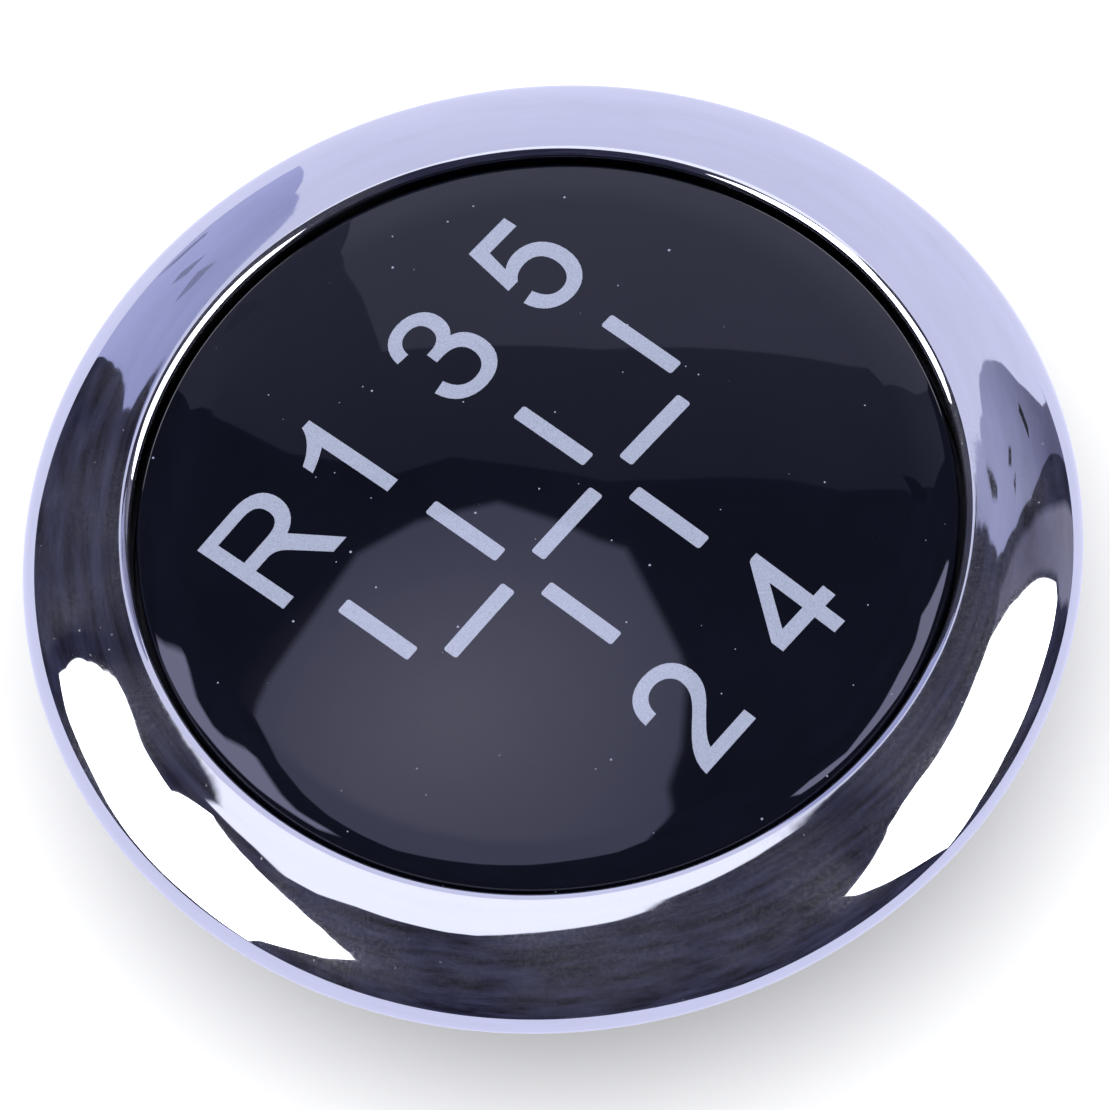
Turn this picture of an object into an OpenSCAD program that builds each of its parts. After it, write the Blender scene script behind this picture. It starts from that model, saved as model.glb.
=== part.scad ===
// Gear shift knob cap: the round trim piece that clips into the top of a gear shift knob.
// A chrome-plated ring frames a domed gloss black disc that carries a five-speed shift pattern.
// The disc is taped to a moulded carrier, whose spigot and hooks locate and hold the cap in the knob.
// Millimetres. +Z is up along the cap's axis, +Y points from the 2-4 side to the R-1-3-5 side of the
// pattern, +X is its reading direction, and z = 0 is the plane that the tips of the hooks stand on.

/* [Face disc] */
// Diameter of the domed disc
face_d = 29.4; // [26:0.2:34]
// Radius of the sphere that the top of the disc follows
dome_r = 105; // [75:5:160]
// Height of the top of the dome over the lip of the ring
dome_rise = 0.8; // [0.5:0.1:1.1]
// Thickness of the disc at its middle
face_t = 2.4; // [2.2:0.1:3]
// Width of the band inside the edge in which the dome bends down more steeply
edge_band = 1.9; // [1.4:0.1:2.4]
// Radius of the arc that the dome follows in that band
edge_bend = 10; // [7:0.5:20]
// Radius of the rolled edge of the disc
edge_roll = 0.6; // [0.4:0.05:0.8]

/* [Shift pattern] */
// Distance between neighbouring gates of the pattern
gate_pitch = 4.86; // [4:0.02:5.2]
// Length of one dash
dash_l = 3.27; // [2.4:0.01:3.6]
// Width of one dash
dash_w = 0.6; // [0.4:0.05:0.8]
// Rounding of the corners of a dash
dash_corner = 0.1; // [0.05:0.01:0.15]
// Distance from the neutral row to the near end of each upright dash
gate_gap = 1.05; // [0.8:0.05:1.4]
// How far the neutral row lies below the middle of the disc
pattern_drop = 1.06; // [0:0.02:1.2]
// Number of upper gates, the first of which is reverse
upper_gates = 4; // [3:1:4]
// Number of lower gates
lower_gates = 2; // [2:1:3]
// Thickness of the metallic print
print_t = 0.04; // [0.03:0.01:0.08]

/* [Trim ring] */
// Open gap between the disc and the mouth of the ring
face_gap = 0.3; // [0.2:0.05:0.6]
// Width of the ring, from its mouth to its widest part
ring_w = 4; // [3.8:0.1:5]
// Height from the widest part of the ring up to its lip
crown_h = 2.8; // [2.4:0.1:3.2]
// Angle at which the wide arc of the crown turns into the tight arc of its shoulder
crown_turn = 45; // [40:1:50]
// Fillet along the lip of the mouth
lip_fillet = 0.2; // [0.1:0.05:0.3]
// Radius of the rounded heel under the widest part
heel_r = 0.9; // [0.7:0.05:1.1]
// Thickness of the wall round the mouth
mouth_wall = 1.2; // [1:0.1:1.4]
// Thickness of the outer wall above the heel
heel_wall = 1.7; // [1.5:0.1:1.8]
// Thickness of the crown over the cored channel
crown_wall = 1.2; // [1:0.1:1.4]
// Radius of the snap bead inside the outer wall
bead_r = 0.35; // [0.25:0.05:0.4]
// How far the snap bead stands out of the outer wall
bead_proud = 0.25; // [0.15:0.05:0.3]

/* [Mounting tape] */
// Thickness of the double-sided tape under the disc
tape_t = 0.4; // [0.2:0.05:0.5]
// How far the tape stays back from the edge of the disc
tape_inset = 0.6; // [0.4:0.1:2]

/* [Clip carrier] */
// Thickness of the flange that the ring sits on
flange_t = 1.2; // [1:0.1:1.4]
// Thickness of the floor under the tape
floor_t = 1.4; // [1.2:0.1:1.8]
// Clearance between the carrier and the ring
fit_gap = 0.15; // [0.1:0.05:0.25]
// Chamfer on the edges of the carrier that enter another piece
lead_in = 0.3; // [0.2:0.05:0.4]
// Outside diameter of the spigot that locates the cap in the knob
spigot_d = 28.4; // [26:0.1:30]
// Wall of the spigot
spigot_wall = 0.8; // [0.7:0.1:1.2]
// Height of the spigot under the seat
spigot_h = 2.6; // [2:0.1:3.2]
// Width of the keyway that sets which way round the cap goes in
key_w = 2; // [1.6:0.1:3]

/* [Hooks and ribs] */
// Number of snap hooks
hooks = 4; // [3:1:5]
// Angle that each hook spans round the axis
hook_arc = 30; // [20:1:36]
// Reach of the hooks under the seat
hook_reach = 6; // [5.5:0.1:7]
// Thickness of a hook
hook_t = 1; // [0.8:0.1:1.2]
// Radial gap between the spigot and a hook
hook_gap = 0.8; // [0.6:0.05:1]
// How far the barb stands out of a hook
barb = 0.8; // [0.6:0.05:1]
// Depth under the seat at which the barb catches
barb_depth = 3.9; // [3.5:0.1:4.2]
// Height of the flat tip of the barb
barb_land = 0.3; // [0.2:0.05:0.4]
// Clearance round each barb in the window over it
window_gap = 0.15; // [0.1:0.05:0.25]
// Fillet at the root of a hook
root_fillet = 0.5; // [0.3:0.05:0.6]
// Thickness of a stiffening rib at its root
rib_t = 0.9; // [0.8:0.1:1.2]
// How much a rib narrows on each side towards its free edge
rib_draft = 0.1; // [0.05:0.05:0.2]
// Height of the ribs and the hub under the floor
rib_h = 1; // [0.8:0.1:1.5]
// Outside diameter of the hub where the ribs meet
hub_d = 8; // [6:0.5:10]
// Wall of the hub
hub_wall = 1; // [0.8:0.1:1.4]

/* [Mould marks] */
// Diameter of the sprue stub in the middle of the hub
sprue_d = 1.2; // [0.8:0.1:1.6]
// Height of the sprue stub
sprue_h = 0.4; // [0.2:0.1:0.6]
// Diameter of the mark that each ejector pin leaves in the floor
pin_mark_d = 2; // [1.5:0.1:3]
// Depth of an ejector pin's mark
pin_mark_depth = 0.1; // [0.05:0.05:0.2]

/* [Hidden] */
$fn = 96;

// Segments of a full turn of the dome's large circle
dome_fn = 720;
// Overlap that makes a cut pass clean through a face
cut = 1;

// Levels, from the tips of the hooks upwards
seat_z = hook_reach;
widest_z = seat_z + heel_r;
lip_z = widest_z + crown_h;
apex_z = lip_z + dome_rise;
face_back_z = apex_z - face_t;
platform_z = face_back_z - tape_t;
floor_z = platform_z - floor_t;
flange_z = seat_z + flange_t;
rib_z = floor_z - rib_h;
spigot_z = seat_z - spigot_h;

// Radii of the ring
face_r = face_d / 2;
mouth_r = face_r + face_gap;
ring_r = mouth_r + ring_w;
lip_r = mouth_r + lip_fillet;
pocket_r = ring_r - heel_wall;
channel_r = mouth_r + mouth_wall;

// Two arcs make the crown: level at the lip, upright at the widest part, and tangent where they meet
crown_w = ring_w - lip_fillet;
turn_sin = sin(crown_turn);
turn_cos = cos(crown_turn);
turn_det = turn_sin * turn_cos - (1 - turn_sin) * (1 - turn_cos);
crown_r = (crown_w * turn_cos - crown_h * (1 - turn_sin)) / turn_det;
shoulder_r = (crown_h * turn_sin - crown_w * (1 - turn_cos)) / turn_det;
crown_c = [lip_r, lip_z - crown_r];
shoulder_c = crown_c + (crown_r - shoulder_r) * [turn_sin, turn_cos];

// Cored channel in the ring, with a round roof under the crown
channel_w = pocket_r - channel_r;
channel_mid = channel_r + channel_w / 2;
channel_top = crown_c[1] + sqrt(pow(crown_r, 2) - pow(channel_mid - lip_r, 2)) - crown_wall;

// Dome of the disc, the steeper band that runs tangent out of it, and the rolled edge that runs tangent
// into the band and into the side
dome_c = [0, apex_z - dome_r];
band_r = face_r - edge_band;
band_tilt = asin(band_r / dome_r);
band_c = dome_c + (dome_r - edge_bend) * [sin(band_tilt), cos(band_tilt)];
roll_x = face_r - edge_roll;
roll_c = [roll_x, band_c[1] + sqrt(pow(edge_bend - edge_roll, 2) - pow(roll_x - band_c[0], 2))];
roll_turn = atan2(roll_c[1] - band_c[1], roll_c[0] - band_c[0]);

// Carrier, set off from the ring by the clearance
flange_r = pocket_r - fit_gap;
platform_r = mouth_r - fit_gap;
bead_c = [pocket_r + bead_r - bead_proud, seat_z + flange_t / 2];
spigot_r = spigot_d / 2;
spigot_in_r = spigot_r - spigot_wall;
hook_out_r = spigot_in_r - hook_gap;
hook_in_r = hook_out_r - hook_t;
barb_z = seat_z - barb_depth;
hub_r = hub_d / 2;

function direction(angle) = [cos(angle), sin(angle)];

// Cutter that rounds an outer corner: what lies outside a circle between two of its radii
module rounding(centre, radius, from, to) {
    reach = 2 * ring_w;
    translate(centre)
        difference() {
            polygon([
                [0, 0], reach * direction(from),
                2 * reach * direction((from + to) / 2), reach * direction(to)
            ]);
            circle(radius);
        }
}

// Filling of the corner between a ceiling and the wall at its right, rooted in both by the depth given
module root_filling(corner, radius, depth) {
    translate(corner - [radius, radius])
        difference() {
            square(radius + depth);
            circle(radius);
        }
}

// Outside of the ring's section: crown, shoulder, rounded heel and filleted lip
module ring_outline() {
    difference() {
        intersection() {
            translate(crown_c) circle(crown_r);
            translate([mouth_r, seat_z]) square([ring_w, lip_z - seat_z + cut]);
        }
        rounding(shoulder_c, shoulder_r, 0, 90 - crown_turn);
        rounding([ring_r - heel_r, widest_z], heel_r, -90, 0);
        rounding([lip_r, lip_z - lip_fillet], lip_fillet, 90, 180);
    }
}

// Section of the ring: a crowned shell with a pocket for the carrier's flange, a cored channel that
// keeps the moulding from sinking, and a bead that snaps the flange in
module ring_section() {
    difference() {
        ring_outline();
        translate([0, seat_z - cut]) square([pocket_r, flange_t + cut]);
        translate([channel_r, seat_z]) square([channel_w, channel_top - channel_w / 2 - seat_z]);
        translate([channel_mid, channel_top - channel_w / 2]) circle(channel_w / 2);
    }
    translate(bead_c) circle(bead_r);
}

module trim_ring() {
    color([0.80, 0.81, 0.86])
        rotate_extrude() ring_section();
}

// Half section of the domed disc
module face_section() {
    difference() {
        intersection() {
            translate(dome_c) circle(dome_r, $fn = dome_fn);
            translate([0, face_back_z]) square([face_r, face_t + cut]);
        }
        difference() {
            translate([band_r, face_back_z]) square([edge_band + cut, face_t + cut]);
            translate(band_c) circle(edge_bend, $fn = dome_fn);
        }
        rounding(roll_c, edge_roll, 0, roll_turn);
    }
}

module face_disc() {
    color([0.04, 0.045, 0.07])
        rotate_extrude() face_section();
}

// Thin skin that follows the dome inside its steeper band
module dome_skin(thickness) {
    rotate_extrude()
        intersection() {
            translate(dome_c)
                difference() {
                    circle(dome_r + thickness, $fn = dome_fn);
                    circle(dome_r, $fn = dome_fn);
                }
            translate([0, face_back_z]) square([band_r, face_t + cut]);
        }
}

// One dash, centred, along X
module dash() {
    across = dash_w / 2 - dash_corner;
    along = dash_l / 2 - dash_corner;
    square([dash_l, 2 * across], center = true);
    square([2 * along, dash_w], center = true);
    for (x = [-along, along], y = [-across, across])
        translate([x, y]) circle(dash_corner);
}

// Row of upright dashes, one for each gate, centred on the pattern
module gate_row(gates, y) {
    for (gate = [0 : gates - 1])
        translate([(gate - (gates - 1) / 2) * gate_pitch, y]) rotate(90) dash();
}

// The gates: upright dashes for the gears above and below, and the neutral row that joins them
module gate_plan() {
    upright_y = gate_gap + dash_l / 2;
    gate_row(upper_gates, upright_y);
    gate_row(lower_gates, -upright_y);
    for (step = [0 : upper_gates - 2])
        translate([(step - (upper_gates - 2) / 2) * gate_pitch, 0]) dash();
}

module gate_lines() {
    color([0.66, 0.67, 0.80])
        intersection() {
            dome_skin(print_t);
            translate([0, -pattern_drop, face_back_z])
                linear_extrude(face_t + cut) gate_plan();
        }
}

module mounting_tape() {
    color([0.85, 0.84, 0.80])
        translate([0, 0, platform_z]) cylinder(r = face_r - tape_inset, h = tape_t);
}

// Annular wall in half section, with a chamfer on its lower outer edge
module chamfered_wall(inner_r, outer_r, bottom_z, top_z) {
    polygon([
        [inner_r, bottom_z], [outer_r - lead_in, bottom_z], [outer_r, bottom_z + lead_in],
        [outer_r, top_z], [inner_r, top_z]
    ]);
}

// Half section of the carrier's turned body: platform, floor, flange with the bead's groove, and spigot
module carrier_section() {
    translate([0, floor_z]) square([platform_r, floor_t]);
    difference() {
        union() {
            translate([0, floor_z]) square([flange_r, flange_z - floor_z]);
            chamfered_wall(spigot_in_r, flange_r, seat_z, flange_z);
            chamfered_wall(spigot_in_r, spigot_r, spigot_z, flange_z);
        }
        translate(bead_c) circle(bead_r + fit_gap / 2);
    }
}

// Half section of a hook: a finger that grows out of the floor and ends in a barb
module hook_section() {
    polygon([
        [hook_in_r, platform_z], [hook_out_r, platform_z],
        [hook_out_r, barb_z], [hook_out_r + barb, barb_z - barb_land],
        [hook_out_r + barb, barb_z - 2 * barb_land], [hook_out_r, 0], [hook_in_r, 0]
    ]);
    root_filling([hook_in_r, floor_z], root_fillet, min(hook_t, floor_t) / 2);
}

// Turns a half section about the axis, over an arc centred on each hook
module at_hooks(arc) {
    for (hook = [0 : hooks - 1])
        rotate((hook + 0.5) * 360 / hooks - arc / 2)
            rotate_extrude(angle = arc) children();
}

// Windows by which the mould reaches the upper faces of the barbs: each runs down through the floor
// and leaves a shallow relief in the spigot's wall. It starts inside the hook, which then fills it up.
module barb_windows() {
    at_hooks(hook_arc + 2 * asin(window_gap / hook_out_r))
        translate([hook_out_r - hook_t / 2, barb_z])
            square([hook_t / 2 + barb + window_gap, platform_z - barb_z + cut]);
}

// Rib along X under the floor, with its root inside the floor
module rib() {
    root_z = floor_z + floor_t / 2;
    rotate([90, 0, 90])
        linear_extrude(spigot_in_r + spigot_wall / 4)
            polygon([
                [-rib_t / 2, root_z], [-rib_t / 2, floor_z], [-rib_t / 2 + rib_draft, rib_z],
                [rib_t / 2 - rib_draft, rib_z], [rib_t / 2, floor_z], [rib_t / 2, root_z]
            ]);
}

// Hub and ribs that stiffen the floor between the hooks, and the stub that the sprue leaves in the hub
module floor_ribs() {
    difference() {
        union() {
            translate([0, 0, rib_z]) cylinder(r = hub_r, h = rib_h + floor_t / 2);
            for (step = [0 : hooks - 1])
                rotate(step * 360 / hooks) rib();
        }
        translate([0, 0, rib_z - cut]) cylinder(r = hub_r - hub_wall, h = rib_h + cut);
    }
    translate([0, 0, floor_z - sprue_h]) cylinder(d = sprue_d, h = sprue_h + floor_t / 2);
}

// Round marks in the floor, half way between the hub and each hook
module pin_marks() {
    for (hook = [0 : hooks - 1])
        rotate((hook + 0.5) * 360 / hooks)
            translate([(hub_r + hook_in_r) / 2, 0, floor_z - cut])
                cylinder(d = pin_mark_d, h = pin_mark_depth + cut);
}

module clip_carrier() {
    color([0.09, 0.09, 0.10])
        difference() {
            union() {
                difference() {
                    rotate_extrude() carrier_section();
                    barb_windows();
                }
                at_hooks(hook_arc) hook_section();
                floor_ribs();
            }
            pin_marks();
            // keyway through the spigot, on the side of the lower gears
            translate([-key_w / 2, -spigot_r - cut, spigot_z - cut])
                cube([key_w, spigot_wall + cut, spigot_h + cut]);
        }
}

trim_ring();
face_disc();
gate_lines();
mounting_tape();
clip_carrier();
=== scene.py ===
# %% [markdown]
# # Gear shift knob cap
# A round trim piece from the top of a gear knob: a chrome-plated ring round a domed gloss black disc
# with a five-speed shift pattern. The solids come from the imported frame, which fixes every size.
# This script gives them their finish: it turns a finer ring and disc from the same arcs, prints the
# pattern on the dome, and builds a small studio for the chrome to mirror.

# %% Load the fixed frame
from math import asin, acos, atan2, cos, degrees, radians, sin, sqrt

import bmesh
import bpy
from mathutils import Matrix, Vector


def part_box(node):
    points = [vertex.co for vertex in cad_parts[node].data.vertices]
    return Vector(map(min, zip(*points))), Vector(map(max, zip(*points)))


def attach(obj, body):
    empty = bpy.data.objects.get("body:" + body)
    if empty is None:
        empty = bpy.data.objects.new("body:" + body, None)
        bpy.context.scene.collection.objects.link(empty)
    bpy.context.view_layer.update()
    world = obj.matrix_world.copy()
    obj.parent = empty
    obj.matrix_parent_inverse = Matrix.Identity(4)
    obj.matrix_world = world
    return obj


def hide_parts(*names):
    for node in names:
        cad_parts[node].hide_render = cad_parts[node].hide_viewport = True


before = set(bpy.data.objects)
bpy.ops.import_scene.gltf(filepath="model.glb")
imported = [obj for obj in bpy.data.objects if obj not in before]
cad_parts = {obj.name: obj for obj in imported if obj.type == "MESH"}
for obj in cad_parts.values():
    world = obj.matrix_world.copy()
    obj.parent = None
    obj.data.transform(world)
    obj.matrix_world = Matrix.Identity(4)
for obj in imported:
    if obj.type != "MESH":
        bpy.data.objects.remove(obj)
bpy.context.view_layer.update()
MM = 0.001
print("pieces in the frame:", ", ".join(sorted(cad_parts)))

# %% [markdown]
# ## Sizes
# The frame's boxes give the levels and the outer radii. What a box can't tell, such as the radius of
# the dome or the turn of the crown, is named here, as the real cap has it. All sizes are in metres.

# %% Sizes of the ring and the disc
ring_low, ring_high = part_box("trim_ring")
disc_low, disc_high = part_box("face_disc")

RING_R = ring_high.x
LIP_Z = ring_high.z
SEAT_Z = ring_low.z
DISC_R = disc_high.x
APEX_Z = disc_high.z
DISC_BACK_Z = disc_low.z

DOME_R = 105 * MM                 # the disc's dome
EDGE_BAND = 1.9 * MM              # width of the band round it that bends down more tightly
EDGE_BEND = 10 * MM               # radius of that band
EDGE_ROLL = 0.2 * MM              # radius of the roll at the disc's edge
DISC_GAP = 0.2 * MM               # dark gap between disc and ring
MOUTH_R = DISC_R + DISC_GAP
LIP_FILLET = 0.32 * MM            # catches the white line round the mouth
HEEL_R = 0.9 * MM                 # rounded heel under the widest part
CROWN_TURN = 45                   # degrees that the crown turns before the tighter shoulder
DOME_CENTRE_Z = APEX_Z - DOME_R
WIDEST_Z = SEAT_Z + HEEL_R

print("ring", round(2 * RING_R / MM, 2), "mm across, mouth", round(2 * MOUTH_R / MM, 2),
      "mm, disc", round(2 * DISC_R / MM, 2), "mm")

# %% [markdown]
# ## The camera
# The photograph looks down on the cap from 61 degrees up, a little rolled. The lens is a long one, so
# the ring keeps its true proportions. The picture's middle lies just beside the top of the dome.

# %% Camera
PHOTO_AZIMUTH = -41.65
PHOTO_ELEVATION = 61.44
PHOTO_ROLL = -9.4
CAMERA_DISTANCE = 0.6
FRAME_WIDTH = 39.45 * MM   # what the picture's width spans at the dome's top
AIM_RIGHT = 0.382 * MM
AIM_UP = -1.695 * MM
SENSOR = 36   # Blender's own sensor width, in its millimetres


def direction(azimuth, elevation):
    """Unit vector toward an azimuth and elevation in degrees; azimuth 0 is the side of -Y."""
    a, e = radians(azimuth), radians(elevation)
    return Vector((sin(a) * cos(e), -cos(a) * cos(e), sin(e)))


back = direction(PHOTO_AZIMUTH, PHOTO_ELEVATION)
level = Vector((cos(radians(PHOTO_AZIMUTH)), sin(radians(PHOTO_AZIMUTH)), 0))
steep = back.cross(level)
roll = radians(PHOTO_ROLL)
camera_right = cos(roll) * level + sin(roll) * steep
camera_up = cos(roll) * steep - sin(roll) * level
aim = Vector((0, 0, APEX_Z)) + AIM_RIGHT * camera_right + AIM_UP * camera_up

camera_data = bpy.data.cameras.new("camera")
camera_data.sensor_width = SENSOR
camera_data.lens = SENSOR * CAMERA_DISTANCE / FRAME_WIDTH
camera = bpy.data.objects.new("camera", camera_data)
pose = Matrix((camera_right, camera_up, back)).transposed().to_4x4()
pose.translation = aim + CAMERA_DISTANCE * back
camera.matrix_world = pose
bpy.context.scene.collection.objects.link(camera)
bpy.context.scene.camera = camera
bpy.context.scene.view_settings.view_transform = "Standard"
print("lens", round(camera_data.lens), "mm at", CAMERA_DISTANCE, "m")

# %% [markdown]
# ## Two small tools
# Colours are written as sRGB hex, as a colour picker shows them, and one function turns them to the
# linear values that Blender works in. Another adds a node to any tree, with its settings and links.

# %% Colour and node helpers


def srgb(hex_code, strength=1.0):
    """Linear colour of an sRGB hex code, brightened by strength, with an alpha of 1."""
    channels = [int(hex_code[i:i + 2], 16) / 255 for i in (1, 3, 5)]
    linear = [c / 12.92 if c <= 0.04045 else ((c + 0.055) / 1.055) ** 2.4 for c in channels]
    return (*[strength * c for c in linear], 1)


def add(tree, kind, inputs=None, **settings):
    """Adds a node. Its inputs map a socket's name or index to a value, or to what feeds it: another
    node's output, or the node itself where that is its first output."""
    node = tree.nodes.new(kind)
    for name, value in settings.items():
        setattr(node, name, value)
    for name, value in (inputs or {}).items():
        if isinstance(value, bpy.types.Node):
            value = value.outputs[0]
        if isinstance(value, bpy.types.NodeSocket):
            tree.links.new(value, node.inputs[name])
        else:
            node.inputs[name].default_value = value
    return node


def new_material(name):
    """A new material and its empty node tree."""
    material = bpy.data.materials.new(name)
    material.use_nodes = True
    material.node_tree.nodes.clear()
    return material, material.node_tree


def finish_material(tree, shader):
    """Links a shader to a new output."""
    add(tree, "ShaderNodeOutputMaterial", {"Surface": shader})


print("helpers ready")

# %% [markdown]
# ## The studio
# Chrome has hardly a colour of its own: it shows the room. A softbox on each side, a panel overhead, a
# pale table and a pale sweep behind it stand in a dark room, each at the direction in which the ring
# mirrors it. They are seen by reflections only, so the camera sees no more than a plain pale floor.
# The panels are drawn as outlines on a sphere round the cap: azimuths count from the camera, and
# elevations from the table, in degrees.

# %% Outlines of the panels
LEFT_SOFTBOX = [
    (-111, 9), (-112, 17), (-118, 37), (-123, 47), (-129, 53), (-129, 55), (-124, 55), (-115, 53),
    (-105, 53), (-112, 60), (-114, 63), (-104, 61.5), (-96, 60), (-90, 59), (-79, 56), (-69, 52),
    (-58, 45), (-49, 35), (-47, 31), (-54, 14), (-60, -4), (-63, -19), (-74, -15), (-80, -15),
    (-87, -13), (-92, -8), (-96, -1), (-102, 4), (-106, 5)
]
RIGHT_SOFTBOX = [
    (102, 17), (101, 10), (98, 6), (93, 3), (87, 2), (81, -2), (74, -6), (67, -16), (64, -26),
    (61, -32), (56, -20), (51, -8), (46, 6), (43, 18), (41, 29), (51, 40), (62, 51), (70, 55),
    (77, 56.5), (83, 56), (97, 56.5), (105, 56.5), (111, 55), (109, 49), (106, 41), (104, 30)
]
SWEEP = [
    (-168, -4.6), (-168, 28), (-170, 42), (-172, 50), (-174, 57), (-174, 60.5), (-177, 62.3),
    (-183, 62.3), (-190, 61.3), (-197, 60), (-205, 58), (-213, 53), (-220, 42), (-225, 31), (-228, 23),
    (-232, 16), (-235, 6), (-236, 1), (-235, -7), (-233, -6), (-225, -4), (-210, -4), (-180, -4)
]
SWEEP_FOLD = [
    (-147, -5), (-147, 10), (-148, 22), (-151, 36), (-155, 47), (-161, 52.5), (-166, 54.5),
    (-171, 57.5), (-174, 60.5), (-174, 57), (-172, 50), (-170, 42), (-168, 28), (-168, -4.6)
]
SIDE_WALL = [
    (118, -14.7), (118, 7), (117, 23), (117, 33), (121, 46), (127, 54), (132, 57), (145, 60),
    (161, 61.8), (171, 62), (170, 61.3), (163, 60), (155, 58), (147, 53), (140, 42), (135, 31),
    (132, 23), (128, 16), (125, 6), (124, 1), (125, -8), (120, -13)
]
CURTAIN = [
    (113, -19), (112, 12), (113, 22), (115, 36), (118, 44), (120, 49), (121, 55), (111, 55), (109, 49),
    (106, 41), (104, 30), (102, 17), (101, 10), (98, 4), (97, -6), (100, -20), (100, -26), (106, -24)
]
TABLE_EDGE = [
    (-180, -4), (-160, -5), (-147, -5), (-135, -7), (-125, -10), (-112, -13), (-90, -18), (-60, -21),
    (-45, -23), (-28, -25), (-14, -26), (0, -27), (12, -31), (20, -36), (40, -36), (60, -35), (80, -31),
    (98, -27), (106, -24), (113, -19), (120, -13), (127, -6), (135, -4), (150, -4), (180, -4)
]

# Dark clips that hold the side wall, and the soft creases where the sweep folds, as darker solid panels:
# painted fold shadows
CLIPS = [
    [(153, 58.5), (146, 56.5), (140, 55), (140, 56), (146, 58)],
    [(128.5, 44), (130.5, 46), (130.5, 43), (129, 41)], [(124.5, 44.5), (126.5, 44.5), (126, 41.5)],
    [(122.5, 24.5), (126.5, 26), (127, 23), (123.5, 22.5)]
]
FOLD_SHADOWS = [
    [(-160, 31), (-163, 37), (-161, 38), (-158, 35)], [(-155, -3), (-160, 0), (-160, 3), (-157, 2)],
    [(-157, 17), (-160, 23), (-158, 24), (-156, 19)]
]

# The sweep again, as the black mirrors it: a pale front, and a dimmer band round that
BLACK_SEES_SWEEP = [
    (-170, -6), (-170, 40), (-172, 49), (-172, 52), (-178, 53), (-185, 54), (-193, 54), (-201, 54),
    (-206, 53), (-217, 46), (-220, 42), (-223, 30), (-224, 18), (-227, 0), (-226, -6)
]
BLACK_SEES_DIM = [
    (-170, 40), (-172, 49), (-172, 52), (-178, 53), (-185, 54), (-193, 54), (-201, 54), (-206, 53),
    (-217, 46), (-220, 42), (-226, 47), (-223, 53), (-213, 58), (-203, 60), (-199, 60), (-190, 60.5),
    (-185, 60.5), (-178, 59), (-174, 58), (-170, 58), (-164, 55), (-160, 50), (-154, 43), (-151, 33),
    (-148, 18), (-147, 0), (-147, -6), (-170, -6)
]
print("softboxes drawn with", len(LEFT_SOFTBOX), "and", len(RIGHT_SOFTBOX), "points")

# %% [markdown]
# Straight overhead an azimuth means little, so what hangs there is drawn in the plane of the ceiling,
# one unit up: first to the camera's right, then away from it. The chrome and the black each have
# their own outline of the overhead panel. The two narrow cards near the softboxes are what the
# rolled edge of the black turns into pale slivers.

# %% Outlines in the plane of the ceiling
CHROME_SEES_PANEL = [
    (-0.39, 0.28), (-0.41, 0.16), (-0.47, 0.02), (-0.43, -0.04), (-0.35, -0.04), (-0.30, -0.09),
    (-0.24, -0.14), (-0.19, -0.15), (-0.11, -0.09), (-0.04, -0.05), (0.01, -0.02), (0.04, 0.04),
    (0.045, 0.15), (0.06, 0.19), (0.08, 0.25), (0.09, 0.34), (0.06, 0.42), (0.02, 0.53), (-0.05, 0.53),
    (-0.19, 0.41), (-0.30, 0.32)
]
BLACK_SEES_PANEL = [
    (-0.033, 0.564), (0.012, 0.53), (0.037, 0.506), (0.058, 0.492), (0.068, 0.45), (0.084, 0.38),
    (0.085, 0.357), (0.072, 0.296), (0.058, 0.265), (0.059, 0.19), (0.051, 0.096), (0.019, 0.058),
    (-0.031, 0.049), (-0.083, 0.037), (-0.145, 0.037), (-0.21, 0.047), (-0.263, 0.059), (-0.301, 0.105),
    (-0.328, 0.154), (-0.333, 0.214), (-0.312, 0.297), (-0.263, 0.375), (-0.228, 0.439),
    (-0.189, 0.487), (-0.148, 0.541), (-0.098, 0.561)
]
BLACK_SEES_LEFT = [
    (-0.70, 0.554), (-0.62, 0.518), (-0.492, 0.487), (-0.474, 0.47), (-0.48, 0.442), (-0.521, 0.38),
    (-0.511, 0.325), (-0.486, 0.306), (-0.409, 0.299), (-0.382, 0.278), (-0.392, 0.247),
    (-0.416, 0.173), (-0.414, 0.13), (-0.373, 0.088), (-0.361, 0.057), (-0.42, 0.06), (-0.466, 0.105),
    (-0.53, 0.157), (-0.62, 0.285), (-0.69, 0.355), (-0.78, 0.46)
]
BLACK_SEES_RIGHT = [
    (0.621, 0.411), (0.568, 0.371), (0.516, 0.334), (0.477, 0.317), (0.482, 0.265), (0.475, 0.247),
    (0.448, 0.211), (0.422, 0.142), (0.39, 0.093), (0.374, 0.06), (0.336, 0.05), (0.298, 0.036),
    (0.27, 0.006), (0.299, -0.014), (0.345, 0.0), (0.40, 0.03), (0.459, 0.077), (0.53, 0.13),
    (0.56, 0.19), (0.58, 0.241), (0.60, 0.305), (0.63, 0.356), (0.655, 0.41)
]

# The panel is a little brighter at its heart: faint round glows that lie over each other
HEART = (-0.09, 0.36)
HEART_RADII = (0.06, 0.10, 0.14, 0.18)
print("overhead panel drawn with", len(CHROME_SEES_PANEL), "and", len(BLACK_SEES_PANEL), "points")

# %% [markdown]
# The chrome and the black look at the same room from different heights and through different curves.
# Light linking lets a panel show in one of them alone, as a studio sets a card for one piece. Each
# panel is a flat fan of its outline. An inset rim that carries a glow of 0, round an inside that
# carries 1, lets its light fade out softly, as it does on the cloth of a real softbox.

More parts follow.
